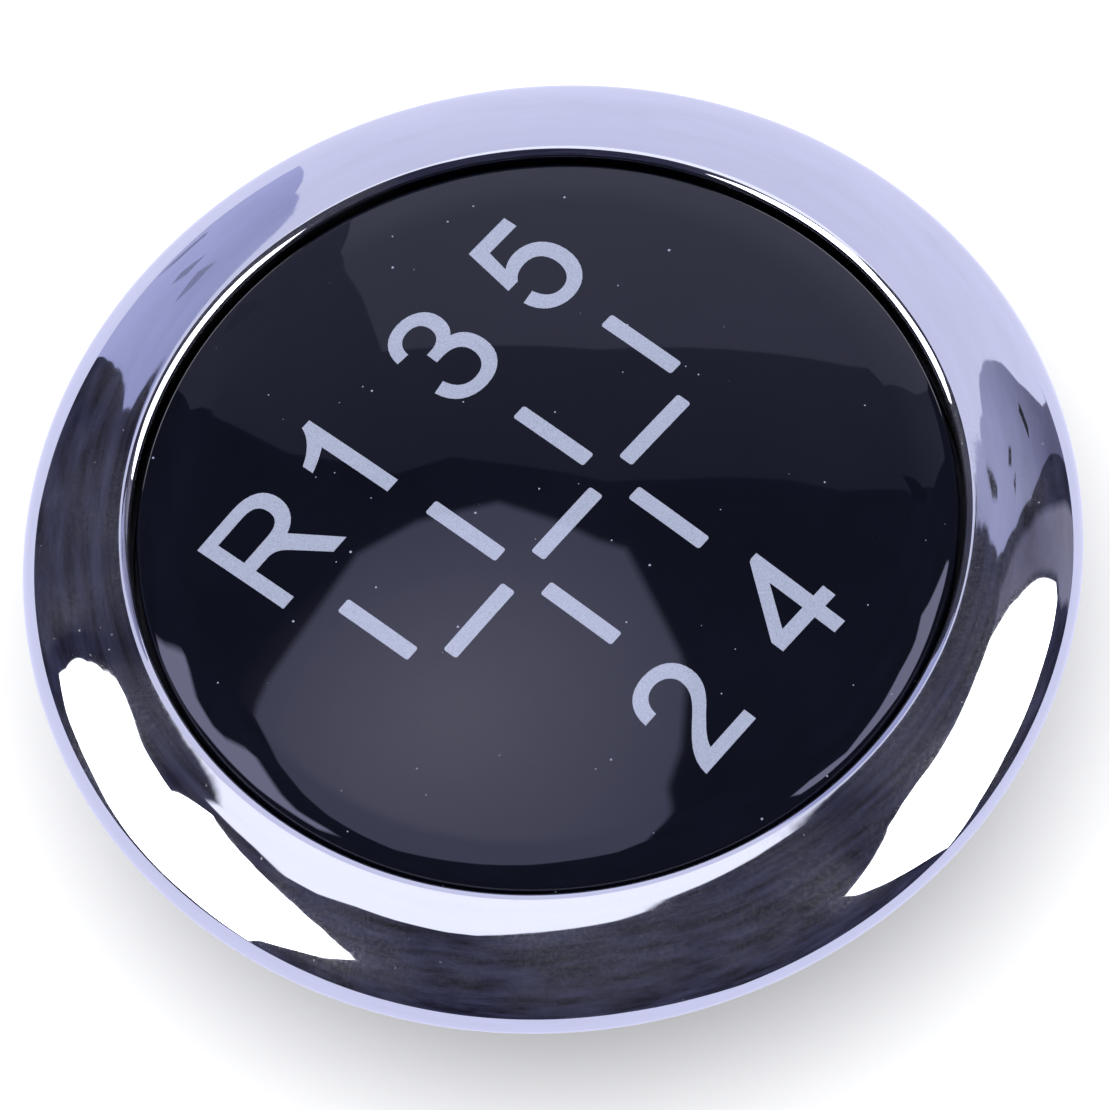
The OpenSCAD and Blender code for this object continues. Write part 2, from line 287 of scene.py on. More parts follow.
# %% Building a panel
STUDIO_R = 3.0          # metres from the cap to every panel
SOLID_NEARER = 0.97     # solid panels hang a little nearer, in front of the others
PANEL_STEP = 3          # degrees between points along an outline
PANEL_WELD = 0.001      # metres below which two points of an outline are one
chrome_only = bpy.data.collections.new("lights_for_chrome")
black_only = bpy.data.collections.new("lights_for_black")


def on_sphere(outline):
    """Directions along an outline of azimuths and elevations, with a point every few degrees."""
    rim = []
    for (a0, e0), (a1, e1) in zip(outline, outline[1:] + outline[:1]):
        steps = max(1, round(max(abs(a1 - a0) % 360, abs(e1 - e0)) / PANEL_STEP))
        rim += [direction(PHOTO_AZIMUTH + a0 + (a1 - a0) * i / steps, e0 + (e1 - e0) * i / steps)
                for i in range(steps)]
    return rim


def on_ceiling(outline):
    """Directions of an outline drawn in the plane of the ceiling."""
    away = direction(PHOTO_AZIMUTH + 180, 0)
    return [(x * level + y * away + Vector((0, 0, 1))).normalized() for x, y in outline]


def studio_panel(name, rim, low, high=None, levels=(0, 90), soft=0, receivers=None, solid=False):
    """A panel that shows in reflections only. Its colour runs from low to high between two
    elevations, and it fades along its rim over a width in metres called soft. Unless solid, it
    lets through what lies behind it, so that a piece it doesn't light sees past it."""
    distance = STUDIO_R * (SOLID_NEARER if solid else 1)
    mesh = bpy.data.meshes.new(name)
    mesh.from_pydata([distance * p for p in rim], [], [tuple(range(len(rim)))])
    shape = bmesh.new()
    shape.from_mesh(mesh)
    bmesh.ops.remove_doubles(shape, verts=shape.verts, dist=PANEL_WELD)
    glow = shape.verts.layers.float.new("glow")
    rim_faces = set()
    if soft:
        rim_faces = set(bmesh.ops.inset_region(shape, faces=shape.faces[:], thickness=soft,
                                               use_boundary=True, use_even_offset=True)["faces"])
    for point in shape.verts:
        point[glow] = 0 if rim_faces.issuperset(point.link_faces) else 1
    bmesh.ops.triangulate(shape, faces=shape.faces)
    shape.to_mesh(mesh)
    shape.free()
    material, tree = new_material(name + "_light")
    place = add(tree, "ShaderNodeTexCoord")
    split = add(tree, "ShaderNodeSeparateXYZ", {"Vector": place.outputs["Object"]})
    rise = add(tree, "ShaderNodeMapRange", {
        "Value": split.outputs["Z"], "From Min": distance * sin(radians(levels[0])),
        "From Max": distance * sin(radians(levels[1]))})
    colour = add(tree, "ShaderNodeMix", {"Factor": rise, 6: low, 7: high or low}, data_type="RGBA")
    edge = add(tree, "ShaderNodeAttribute", attribute_name="glow")
    lit = add(tree, "ShaderNodeEmission", {"Color": colour.outputs[2]})
    tree.links.new(edge.outputs["Fac"], lit.inputs["Strength"])
    clear = add(tree, "ShaderNodeBsdfTransparent")
    through = add(tree, "ShaderNodeAddShader", {0: lit, 1: clear})
    finish_material(tree, lit if solid else through)
    mesh.materials.append(material)
    panel = bpy.data.objects.new(name, mesh)
    bpy.context.scene.collection.objects.link(panel)
    panel.visible_camera = panel.visible_diffuse = panel.visible_shadow = False
    if receivers:
        panel.light_linking.receiver_collection = receivers


print("studio of radius", STUDIO_R, "m")

# %% [markdown]
# Where two panels touch, most rims stay hard, because soft ones would leave a dark seam. The clips and
# the painted fold shadows of the sweep are solid, so they hide what is behind them.

# %% Panels for the chrome
PANEL_LIGHT = 1.5
WHITE = srgb("#FFFFFF", 5)

studio_panel("left_softbox", on_sphere(LEFT_SOFTBOX), WHITE, soft=0.02, receivers=chrome_only)
studio_panel("right_softbox", on_sphere(RIGHT_SOFTBOX), WHITE, soft=0.02, receivers=chrome_only)
studio_panel("table", on_sphere(TABLE_EDGE), srgb("#C6C7DE", PANEL_LIGHT))
studio_panel("overhead_panel", on_ceiling(CHROME_SEES_PANEL), srgb("#EBECF8", PANEL_LIGHT), soft=0.03,
             receivers=chrome_only)
studio_panel("sweep", on_sphere(SWEEP), srgb("#C3C5DC", PANEL_LIGHT), srgb("#BEBFD6", PANEL_LIGHT),
             levels=(0, 58), receivers=chrome_only)
studio_panel("sweep_fold", on_sphere(SWEEP_FOLD), srgb("#999CC2", PANEL_LIGHT),
             srgb("#878BB2", PANEL_LIGHT), levels=(0, 45), receivers=chrome_only)
studio_panel("side_wall", on_sphere(SIDE_WALL), srgb("#4A4A60", PANEL_LIGHT),
             srgb("#8A8CAA", PANEL_LIGHT), levels=(8, 58), receivers=chrome_only)
studio_panel("curtain", on_sphere(CURTAIN), srgb("#706E7C", PANEL_LIGHT), srgb("#4C4A58", PANEL_LIGHT),
             levels=(0, 40), soft=0.08, receivers=chrome_only)
for i, clip in enumerate(CLIPS):
    studio_panel("clip_%d" % i, on_sphere(clip), srgb("#20202C"), solid=True)
# Painted shade: each crease of the sweep is a solid panel darker than the sweep
for i, fold_shadow in enumerate(FOLD_SHADOWS):
    studio_panel("crease_%d" % i, on_sphere(fold_shadow), srgb("#7C7EA0", 1.3), solid=True)
print(len(bpy.data.meshes), "meshes with the panels for the chrome")

# %% Cards for the black
SLIVER = srgb("#D2D2FF", 5)

studio_panel("left_card", on_ceiling(BLACK_SEES_LEFT), SLIVER, soft=0.05, receivers=black_only)
studio_panel("right_card", on_ceiling(BLACK_SEES_RIGHT), SLIVER, soft=0.02, receivers=black_only)
studio_panel("overhead_card", on_ceiling(BLACK_SEES_PANEL), srgb("#CBCDFC", 1.62), soft=0.02,
             receivers=black_only)
for i, heart_r in enumerate(HEART_RADII):
    ring_of_light = [(HEART[0] + heart_r * sin(radians(turn)), HEART[1] + heart_r * cos(radians(turn)))
                     for turn in range(0, 360, 10)]
    studio_panel("overhead_heart_%d" % i, on_ceiling(ring_of_light), srgb("#FFF6FF", 0.2), soft=0.13,
                 receivers=black_only)
studio_panel("sweep_card", on_sphere(BLACK_SEES_SWEEP), srgb("#DDDEFF", 1.1), srgb("#BCBCE2", 1.1),
             levels=(34, 53), receivers=black_only)
studio_panel("dim_card", on_sphere(BLACK_SEES_DIM), srgb("#9292B0"), srgb("#62627C"), levels=(47, 60),
             receivers=black_only)
print(len(bpy.data.meshes), "meshes with all the panels")

# %% [markdown]
# ## The room, the key light and the floor
# Gloss and all else need different rooms. Mirrored rays meet a dark, slightly uneven room, where the
# panels stand out. All other rays meet an even pale light, so the floor stays white and the shadow
# under the cap stays soft. The floor lets rays from below pass, so the underside can be looked at.

# %% Dark room for reflections, even pale light for all else
ROOM_LIGHT = 1.35
world = bpy.data.worlds.new("studio_room")
bpy.context.scene.world = world
world.use_nodes = True
room = world.node_tree
room.nodes.clear()
rays = add(room, "ShaderNodeLightPath")
pale = add(room, "ShaderNodeBackground", {"Color": srgb("#FFFFFF"), "Strength": ROOM_LIGHT})
toward = add(room, "ShaderNodeTexCoord")
stretch = add(room, "ShaderNodeMapping", {"Vector": toward.outputs["Generated"], "Scale": (1, 1, 0.45)})
clutter = add(room, "ShaderNodeTexNoise", {"Vector": stretch, "Scale": 7, "Detail": 6,
                                           "Roughness": 0.65})
shade = add(room, "ShaderNodeMapRange", {"Value": clutter.outputs["Fac"], "From Min": 0.35,
                                         "From Max": 0.7})
gloom = add(room, "ShaderNodeMix", {"Factor": shade, 6: srgb("#20202E", 1.1),
                                    7: srgb("#454560", 1.1)}, data_type="RGBA")
dark = add(room, "ShaderNodeBackground", {"Color": gloom.outputs[2]})
seen = add(room, "ShaderNodeMixShader", {0: rays.outputs["Is Glossy Ray"], 1: pale, 2: dark})
add(room, "ShaderNodeOutputWorld", {"Surface": seen})
print("room has", len(room.nodes), "nodes")

# %% Soft key light and the pale floor
KEY_SIZE = 1.6
KEY_HEIGHT = 1.1
KEY_POWER = 1.5
KEY_PLACE = direction(PHOTO_AZIMUTH - 100, 70)
FLOOR_HALF = 4

key_data = bpy.data.lights.new("key_light", "AREA")
key_data.shape = "DISK"
key_data.size = KEY_SIZE
key_data.energy = KEY_POWER
key = bpy.data.objects.new("key_light", key_data)
key.location = KEY_HEIGHT * KEY_PLACE
key.rotation_euler = KEY_PLACE.to_track_quat("Z", "Y").to_euler()
key.visible_glossy = False
bpy.context.scene.collection.objects.link(key)

floor_mesh = bpy.data.meshes.new("floor")
corners = [(-FLOOR_HALF, -FLOOR_HALF), (FLOOR_HALF, -FLOOR_HALF), (FLOOR_HALF, FLOOR_HALF),
           (-FLOOR_HALF, FLOOR_HALF)]
floor_mesh.from_pydata([(x, y, 0) for x, y in corners], [], [(0, 1, 2, 3)])
floor_paper, tree = new_material("floor_paper")
sheet = add(tree, "ShaderNodeBsdfDiffuse", {"Color": srgb("#FAFAFB")})
clear = add(tree, "ShaderNodeBsdfTransparent")
side = add(tree, "ShaderNodeNewGeometry")
paper = add(tree, "ShaderNodeMixShader", {0: side.outputs["Backfacing"], 1: sheet, 2: clear})
finish_material(tree, paper)
floor_mesh.materials.append(floor_paper)
floor = bpy.data.objects.new("floor", floor_mesh)
floor.visible_glossy = False
bpy.context.scene.collection.objects.link(floor)
print("floor", 2 * FLOOR_HALF, "m wide, key light", KEY_POWER, "W")

# %% [markdown]
# ## Chrome plating
# The ring is moulded ABS, plated with copper, nickel and a thin bright chrome. Such a coat mirrors
# nearly everything, with a slightly blue cast. The eye reads it as real by what disturbs the mirror:
# the slow waviness that the moulding leaves, and patches of hairline scratches from wiping, which
# spread a faint haze beside each bright reflection. The haze is a rough coat over the clear mirror.
# Real hairlines are some hundredths of a millimetre wide, too fine to show here, so they are drawn
# coarser. Specks of dust lie on the chrome too, most of them hardly visible.

# %% Chrome plating
CHROME = "#D2D4DC"
WAVE_PITCH = 2.5 * MM
WIPE_PITCH = 6 * MM
SCRATCH_PITCH = 0.14 * MM
SCRATCH_HAZE = 0.16
SPECK_PITCH = 0.5 * MM
SPECK_R = 0.045 * MM
SPECK_HAZE = 0.6

chrome, tree = new_material("bright_chrome_plating")
place = add(tree, "ShaderNodeTexCoord")
wave = add(tree, "ShaderNodeTexNoise", {"Vector": place.outputs["Object"], "Scale": 1 / WAVE_PITCH,
                                        "Detail": 2.5})
grain = add(tree, "ShaderNodeTexNoise", {"Vector": place.outputs["Object"], "Scale": 1 / SCRATCH_PITCH,
                                         "Detail": 3, "Roughness": 0.7})
wiped = add(tree, "ShaderNodeTexNoise", {"Vector": place.outputs["Object"], "Scale": 1 / WIPE_PITCH,
                                         "Detail": 2})
where = add(tree, "ShaderNodeMapRange", {"Value": wiped.outputs["Fac"], "From Min": 0.38,
                                         "From Max": 0.62})
speckle = add(tree, "ShaderNodeMapRange", {"Value": grain.outputs["Fac"], "From Min": 0.4,
                                           "From Max": 0.7, "To Min": 0.25, "To Max": 1})
worn = add(tree, "ShaderNodeMath", {0: where, 1: speckle}, operation="MULTIPLY")
rough = add(tree, "ShaderNodeMapRange", {"Value": worn, "To Min": 0.02, "To Max": 0.07})
film = add(tree, "ShaderNodeMath", {0: worn, 1: SCRATCH_HAZE}, operation="MULTIPLY")
specks = add(tree, "ShaderNodeTexVoronoi", {"Vector": place.outputs["Object"], "Scale": 1 / SPECK_PITCH})
pick = add(tree, "ShaderNodeSeparateColor", {"Color": specks.outputs["Color"]})
speck_r = add(tree, "ShaderNodeMapRange", {"Value": pick.outputs["Red"], "From Min": 0.3,
                                           "To Max": SPECK_R / SPECK_PITCH})
speck = add(tree, "ShaderNodeMath", {0: specks.outputs["Distance"], 1: speck_r}, operation="LESS_THAN")
pale_speck = add(tree, "ShaderNodeMath", {0: speck, 1: SPECK_HAZE}, operation="MULTIPLY")
dulled = add(tree, "ShaderNodeMath", {0: film, 1: pale_speck}, operation="MAXIMUM")
wavy = add(tree, "ShaderNodeBump", {"Height": wave.outputs["Fac"], "Strength": 0.03,
                                    "Distance": 0.1 * MM})
mirror = add(tree, "ShaderNodeBsdfPrincipled", {
    "Base Color": srgb(CHROME), "Metallic": 1, "Roughness": rough, "Normal": wavy,
    "Coat Weight": dulled, "Coat Roughness": 0.4, "Coat IOR": 3.5})
finish_material(tree, mirror)
print(chrome.name, "has", len(tree.nodes), "nodes")

# %% [markdown]
# ## Gloss black
# The disc is moulded in black and lacquered, so it is deep and even, with a sharp reflection like
# that of a piano key. What lies on it is fine dust: a few pale specks, most of them hardly visible.

# %% Gloss black with dust
LACQUER_BLACK = "#0A0C16"
DUST_TONE = "#8A8EA8"
DUST_PITCH = 0.55 * MM
DUST_R = 0.05 * MM

black, tree = new_material("lacquered_gloss_black")
place = add(tree, "ShaderNodeTexCoord")
grains = add(tree, "ShaderNodeTexVoronoi", {"Vector": place.outputs["Object"], "Scale": 1 / DUST_PITCH})
size = add(tree, "ShaderNodeSeparateColor", {"Color": grains.outputs["Color"]})
reach = add(tree, "ShaderNodeMapRange", {"Value": size.outputs["Red"], "From Min": 0.5, "From Max": 1,
                                         "To Min": 0, "To Max": DUST_R / DUST_PITCH})
dot = add(tree, "ShaderNodeMath", {0: grains.outputs["Distance"], 1: reach}, operation="LESS_THAN")
tone = add(tree, "ShaderNodeMix", {"Factor": dot, 6: srgb(LACQUER_BLACK),
                                   7: srgb(DUST_TONE)}, data_type="RGBA")
matt = add(tree, "ShaderNodeMapRange", {"Value": dot, "To Min": 0.02, "To Max": 0.6})
gloss = add(tree, "ShaderNodeBsdfPrincipled", {"Base Color": tone.outputs[2], "Roughness": matt})
finish_material(tree, gloss)
print(black.name, "has", len(tree.nodes), "nodes")

# %% [markdown]
# ## Metallic print
# The pattern is printed in a silver ink of fine metal flakes and sealed under clear lacquer. The
# flakes scatter, so the ink looks bright from every side, and the lacquer over it mirrors the room
# just as the black beside it does. A real flake is about 0.02 mm across, too small to show here, so
# the grain is drawn coarser.

# %% Metallic print
FLAKE = 0.05 * MM
INK_SHADE = "#888EA4"
INK_GLINT = "#A1A7C0"

silver, tree = new_material("silver_ink_under_lacquer")
place = add(tree, "ShaderNodeTexCoord")
flakes = add(tree, "ShaderNodeTexNoise", {"Vector": place.outputs["Object"], "Scale": 1 / FLAKE,
                                          "Detail": 2})
shade = add(tree, "ShaderNodeMapRange", {"Value": flakes.outputs["Fac"], "From Min": 0.3,
                                         "From Max": 0.7, "To Min": 0, "To Max": 1})
ink = add(tree, "ShaderNodeMix", {"Factor": shade, 6: srgb(INK_SHADE), 7: srgb(INK_GLINT)},
          data_type="RGBA")
print_shader = add(tree, "ShaderNodeBsdfPrincipled", {
    "Base Color": ink.outputs[2], "Metallic": 0, "Roughness": 0.5, "Coat Weight": 1,
    "Coat Roughness": 0.02, "Specular IOR Level": 0})
finish_material(tree, print_shader)
print(silver.name, "has", len(tree.nodes), "nodes")

# %% [markdown]
# ## Black ABS and foam tape
# The carrier is an ABS moulding from a lightly etched tool: black, with a soft sheen. The tape under
# the disc is a pale closed-cell foam, which shows only through the windows over the barbs.

# %% Black ABS
ABS_BLACK = "#26262A"
ETCH_PITCH = 0.12 * MM

abs_plastic, tree = new_material("moulded_black_abs")
place = add(tree, "ShaderNodeTexCoord")
etch = add(tree, "ShaderNodeTexNoise", {"Vector": place.outputs["Object"], "Scale": 1 / ETCH_PITCH,
                                        "Detail": 3})
grain = add(tree, "ShaderNodeBump", {"Height": etch.outputs["Fac"], "Strength": 0.25,
                                     "Distance": 0.02 * MM})
satin = add(tree, "ShaderNodeBsdfPrincipled", {"Base Color": srgb(ABS_BLACK), "Roughness": 0.42,
                                               "Normal": grain})
finish_material(tree, satin)
print(abs_plastic.name, "has", len(tree.nodes), "nodes")

# %% Foam tape
FOAM_WHITE = "#D9D7CF"
PORE_PITCH = 0.15 * MM

foam, tree = new_material("acrylic_foam_tape")
place = add(tree, "ShaderNodeTexCoord")
pores = add(tree, "ShaderNodeTexVoronoi", {"Vector": place.outputs["Object"], "Scale": 1 / PORE_PITCH})
cells = add(tree, "ShaderNodeBump", {"Height": pores.outputs["Distance"], "Strength": 0.4,
                                     "Distance": 0.05 * MM})
cushion = add(tree, "ShaderNodeBsdfPrincipled", {"Base Color": srgb(FOAM_WHITE), "Roughness": 0.8,
                                                 "Normal": cells})
finish_material(tree, cushion)
print(foam.name, "has", len(tree.nodes), "nodes")

# %% [markdown]
# ## Turning round pieces
# The ring and the disc are bodies of revolution. Geometry Nodes turn a drawn section about the axis:
# a grid has one column for each step of the turn and one row for each point of the section, and each
# grid point takes its radius and height from that point. Corners stay exactly where they are drawn.

# %% Node tree that turns a section
WELD = 0.0001 * MM   # points nearer than this are one: the seam of the turn, and its ends on the axis


def new_tree(name, sockets):
    """An empty Geometry Nodes tree, and what it is given: a geometry and the named inputs."""
    tree = bpy.data.node_groups.new(name, "GeometryNodeTree")
    tree.interface.new_socket("Geometry", in_out="OUTPUT", socket_type="NodeSocketGeometry")
    tree.interface.new_socket("Geometry", in_out="INPUT", socket_type="NodeSocketGeometry")
    for socket, kind in sockets:
        tree.interface.new_socket(socket, in_out="INPUT", socket_type="NodeSocket" + kind)
    return tree, add(tree, "NodeGroupInput").outputs


def turning_tree():
    """Geometry Nodes that turn a section about the Z axis, in equal steps."""
    tree, given = new_tree("turn_section", [("Turn Steps", "Int"), ("Material", "Material")])
    rows = add(tree, "GeometryNodeAttributeDomainSize", {"Geometry": given["Geometry"]})
    rows_count = rows.outputs["Point Count"]
    columns = add(tree, "ShaderNodeMath", {0: given["Turn Steps"], 1: 1})
    grid = add(tree, "GeometryNodeMeshGrid", {"Vertices X": columns, "Vertices Y": rows_count})
    index = add(tree, "GeometryNodeInputIndex")
    row = add(tree, "ShaderNodeMath", {0: index, 1: rows_count}, operation="MODULO")
    column = add(tree, "ShaderNodeMath", {0: index, 1: rows_count}, operation="DIVIDE")
    whole = add(tree, "ShaderNodeMath", {0: column}, operation="FLOOR")
    share = add(tree, "ShaderNodeMath", {0: whole, 1: given["Turn Steps"]}, operation="DIVIDE")
    angle = add(tree, "ShaderNodeMath", {0: share, 1: radians(360)}, operation="MULTIPLY")
    drawn = add(tree, "GeometryNodeInputPosition")
    point = add(tree, "GeometryNodeSampleIndex", {
        "Geometry": given["Geometry"], "Value": drawn, "Index": row}, data_type="FLOAT_VECTOR")
    turned = add(tree, "ShaderNodeVectorRotate", {"Vector": point, "Angle": angle},
                 rotation_type="Z_AXIS")
    placed = add(tree, "GeometryNodeSetPosition", {"Geometry": grid, "Position": turned})
    closed = add(tree, "GeometryNodeMergeByDistance", {"Geometry": placed, "Distance": WELD})
    smooth = add(tree, "GeometryNodeSetShadeSmooth", {"Geometry": closed})
    real = add(tree, "GeometryNodeRealizeInstances", {"Geometry": smooth})
    coated = add(tree, "GeometryNodeSetMaterial", {"Geometry": real, "Material": given["Material"]})
    add(tree, "NodeGroupOutput", {"Geometry": coated})
    return tree


turn_section = turning_tree()
print("turning tree has", len(turn_section.nodes), "nodes")

# %% Running a tree and keeping its result
SHARP_ANGLE = 30   # degrees between two faces, above which their edge stays crisp


def link_object(name, data):
    """A new object in the scene, at the origin."""
    piece = bpy.data.objects.new(name, data)
    bpy.context.scene.collection.objects.link(piece)
    return piece


def outward_volume(mesh):
    """Volume inside a closed mesh, positive where its faces point outwards."""
    mesh.calc_loop_triangles()
    corners = [[mesh.vertices[i].co for i in triangle.vertices] for triangle in mesh.loop_triangles]
    return sum(a.dot(b.cross(c)) for a, b, c in corners) / 6


def run_tree(name, data, tree, values):
    """Runs a tree on data and returns its result as a plain mesh object, with its faces outward and
    its edges crisp."""
    source = link_object(name + "_source", data)
    modifier = source.modifiers.new("nodes", "NODES")
    modifier.node_group = tree
    for socket in tree.interface.items_tree:
        if socket.in_out == "INPUT" and socket.name in values:
            modifier[socket.identifier] = values[socket.name]
    evaluated = source.evaluated_get(bpy.context.evaluated_depsgraph_get())
    mesh = bpy.data.meshes.new_from_object(evaluated)
    source.modifiers.clear()
    bpy.data.objects.remove(source)
    mesh.name = name
    volume = outward_volume(mesh)
    if volume < 0:
        mesh.flip_normals()
    mesh.set_sharp_from_angle(angle=radians(SHARP_ANGLE))
    piece = link_object(name, mesh)
    print(name, "has", len(mesh.loop_triangles), "triangles and", round(abs(volume) / MM ** 3, 2), "mm3")
    return piece


def arc(centre, radius, start, end, steps):
    """Points of an arc from one angle to another, in degrees."""
    angles = [radians(start + (end - start) * i / steps) for i in range(steps + 1)]
    return [(centre[0] + radius * cos(a), centre[1] + radius * sin(a)) for a in angles]


def section_mesh(name, points):
    """A closed section as a loop of edges in the XZ plane, with the first point repeated at its end."""
    loop = points + points[:1]
    mesh = bpy.data.meshes.new(name)
    mesh.from_pydata([(r, 0, z) for r, z in loop], [(i, i + 1) for i in range(len(loop) - 1)], [])
    return mesh


print("ready to turn sections")

# %% [markdown]
# ## The trim ring
# Its section is drawn from arcs that run tangent into each other: a wide crown that is level at the
# lip, a tight shoulder, and a rounded heel. A mirror shows every break in such a curve, so each arc
# has many points. Below the crown lie the cored channel and the pocket that snaps over the carrier.

# %% Trim ring
MOUTH_WALL = 1.2 * MM
HEEL_WALL = 1.7 * MM
CROWN_WALL = 1.2 * MM
FLANGE_TOP_Z = SEAT_Z + 1.2 * MM
BEAD_R = 0.35 * MM
BEAD_PROUD = 0.25 * MM
RING_TURN_STEPS = 384
LIP_STEPS, CROWN_STEPS, SHOULDER_STEPS, HEEL_STEPS, BEAD_STEPS, ROOF_STEPS = 20, 44, 36, 20, 12, 14


def ring_section():
    """Radius and height of each point round the ring's section, from the lip over the crown to the
    heel, and back by the snap bead, the pocket and the roof of the cored channel."""
    lip_r = MOUTH_R + LIP_FILLET
    width, height = RING_R - lip_r, LIP_Z - WIDEST_Z
    s, c = sin(radians(CROWN_TURN)), cos(radians(CROWN_TURN))
    spread = s * c - (1 - s) * (1 - c)
    crown_r = (width * c - height * (1 - s)) / spread
    shoulder_r = (height * s - width * (1 - c)) / spread
    crown = (lip_r, LIP_Z - crown_r)
    shoulder = (crown[0] + (crown_r - shoulder_r) * s, crown[1] + (crown_r - shoulder_r) * c)
    pocket_r, channel_r = RING_R - HEEL_WALL, MOUTH_R + MOUTH_WALL
    roof_r = (pocket_r - channel_r) / 2
    roof_x = channel_r + roof_r
    roof_z = crown[1] + sqrt(crown_r ** 2 - (roof_x - lip_r) ** 2) - CROWN_WALL - roof_r
    bead = (pocket_r + BEAD_R - BEAD_PROUD, (SEAT_Z + FLANGE_TOP_Z) / 2)
    bead_turn = degrees(acos((pocket_r - bead[0]) / BEAD_R))
    print("crown radius", round(crown_r / MM, 2), "mm, shoulder radius", round(shoulder_r / MM, 2), "mm")
    return (
        [(MOUTH_R, FLANGE_TOP_Z)]
        + arc((lip_r, LIP_Z - LIP_FILLET), LIP_FILLET, 180, 90, LIP_STEPS)
        + arc(crown, crown_r, 90, 90 - CROWN_TURN, CROWN_STEPS)[1:]
        + arc(shoulder, shoulder_r, 90 - CROWN_TURN, 0, SHOULDER_STEPS)[1:]
        + arc((RING_R - HEEL_R, WIDEST_Z), HEEL_R, 0, -90, HEEL_STEPS)[1:]
        + [(pocket_r, SEAT_Z)]
        + arc(bead, BEAD_R, 360 - bead_turn, bead_turn, BEAD_STEPS)
        + arc((roof_x, roof_z), roof_r, 0, 180, ROOF_STEPS)
        + [(channel_r, FLANGE_TOP_Z)]
    )


ring = run_tree("chrome_ring", section_mesh("ring_section", ring_section()), turn_section,
                {"Turn Steps": RING_TURN_STEPS, "Material": chrome})
chrome_only.objects.link(ring)
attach(ring, "root")
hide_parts("trim_ring")

# %% [markdown]
# ## The face disc
# A shallow dome that bends down over a narrow band to a small rolled edge. The dome decides where the
# black mirrors the panel overhead, and the roll catches a sliver of each softbox, so all three are
# turned from their true arcs, each tangent to the next.

# %% Face disc
DISC_TURN_STEPS = 256
DOME_STEPS, BAND_STEPS, ROLL_STEPS = 40, 16, 24


def disc_section():
    """Radius and height of each point round the disc's section, from the dome's top outwards."""
    band_tilt = asin((DISC_R - EDGE_BAND) / DOME_R)
    band = ((DOME_R - EDGE_BEND) * sin(band_tilt),
            DOME_CENTRE_Z + (DOME_R - EDGE_BEND) * cos(band_tilt))
    roll_x = DISC_R - EDGE_ROLL
    roll_z = band[1] + sqrt((EDGE_BEND - EDGE_ROLL) ** 2 - (roll_x - band[0]) ** 2)
    roll_turn = degrees(atan2(roll_z - band[1], roll_x - band[0]))
    band_turn = 90 - degrees(band_tilt)
    return (
        arc((0, DOME_CENTRE_Z), DOME_R, 90, band_turn, DOME_STEPS)
        + arc(band, EDGE_BEND, band_turn, roll_turn, BAND_STEPS)[1:]
        + arc((roll_x, roll_z), EDGE_ROLL, roll_turn, 0, ROLL_STEPS)[1:]
        + [(DISC_R, DISC_BACK_Z), (0, DISC_BACK_Z)]
    )


disc = run_tree("gloss_disc", section_mesh("disc_section", disc_section()), turn_section,
                {"Turn Steps": DISC_TURN_STEPS, "Material": black})
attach(disc, "root")
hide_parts("face_disc")
black_only.objects.link(disc)

# %% [markdown]
# ## Printing on the dome
# A mark is drawn flat and then wrapped: its outline is filled, cut into small faces, and each point is
# raised to the dome. A second copy just below closes it to a thin film. Both the dashes and the
# numerals pass through the same nodes.

# %% Node tree that prints flat outlines on the dome
PRINT_PROUD = 0.02 * MM   # how far the film stands above the dome, and how far it reaches below
PRINT_SUNK = 0.02 * MM


def wrap_nodes(tree, flat, material):
    """Adds nodes that raise a flat mesh to the dome and close it to a film, and returns the last."""
    fine = add(tree, "GeometryNodeSubdivideMesh", {"Mesh": flat, "Level": 2})
    where = add(tree, "GeometryNodeInputPosition")
    spread = add(tree, "ShaderNodeVectorMath", {0: where, 1: where}, operation="DOT_PRODUCT")
    under = add(tree, "ShaderNodeMath", {0: DOME_R ** 2, 1: spread.outputs["Value"]},
                operation="SUBTRACT")
    rise = add(tree, "ShaderNodeMath", {0: under}, operation="SQRT")
    level = add(tree, "ShaderNodeMath", {0: rise, 1: DOME_CENTRE_Z - PRINT_SUNK})
    lift = add(tree, "ShaderNodeCombineXYZ", {"Z": level})
    bottom = add(tree, "GeometryNodeSetPosition", {"Geometry": fine, "Offset": lift})
    film = add(tree, "GeometryNodeExtrudeMesh", {
        "Mesh": bottom, "Offset": (0, 0, 1), "Offset Scale": PRINT_PROUD + PRINT_SUNK,
        "Individual": False})
    flipped = add(tree, "GeometryNodeFlipFaces", {"Mesh": bottom})
    both = add(tree, "GeometryNodeJoinGeometry", {"Geometry": film})
    tree.links.new(flipped.outputs[0], both.inputs[0])
    closed = add(tree, "GeometryNodeMergeByDistance", {"Geometry": both, "Distance": WELD})
    smooth = add(tree, "GeometryNodeSetShadeSmooth", {"Geometry": closed})
    real = add(tree, "GeometryNodeRealizeInstances", {"Geometry": smooth})
    inked = add(tree, "GeometryNodeSetMaterial", {"Geometry": real, "Material": material})
    return inked


def printing_tree():
    """Geometry Nodes that fill outlines and wrap them on the dome."""
    tree, given = new_tree("print_on_dome", [("Material", "Material")])
    filled = add(tree, "GeometryNodeFillCurve", {"Curve": given["Geometry"]}, mode="TRIANGLES")
    add(tree, "NodeGroupOutput", {"Geometry": wrap_nodes(tree, filled, given["Material"])})
    return tree


print_on_dome = printing_tree()
print("printing tree has", len(print_on_dome.nodes), "nodes")

# %% [markdown]
# ## The gates
# Nine equal dashes show how the lever moves: four gates above the neutral row, two below, and three
# dashes along the row. Geometry Nodes set one dash out at each gate, so pitch and length can change.

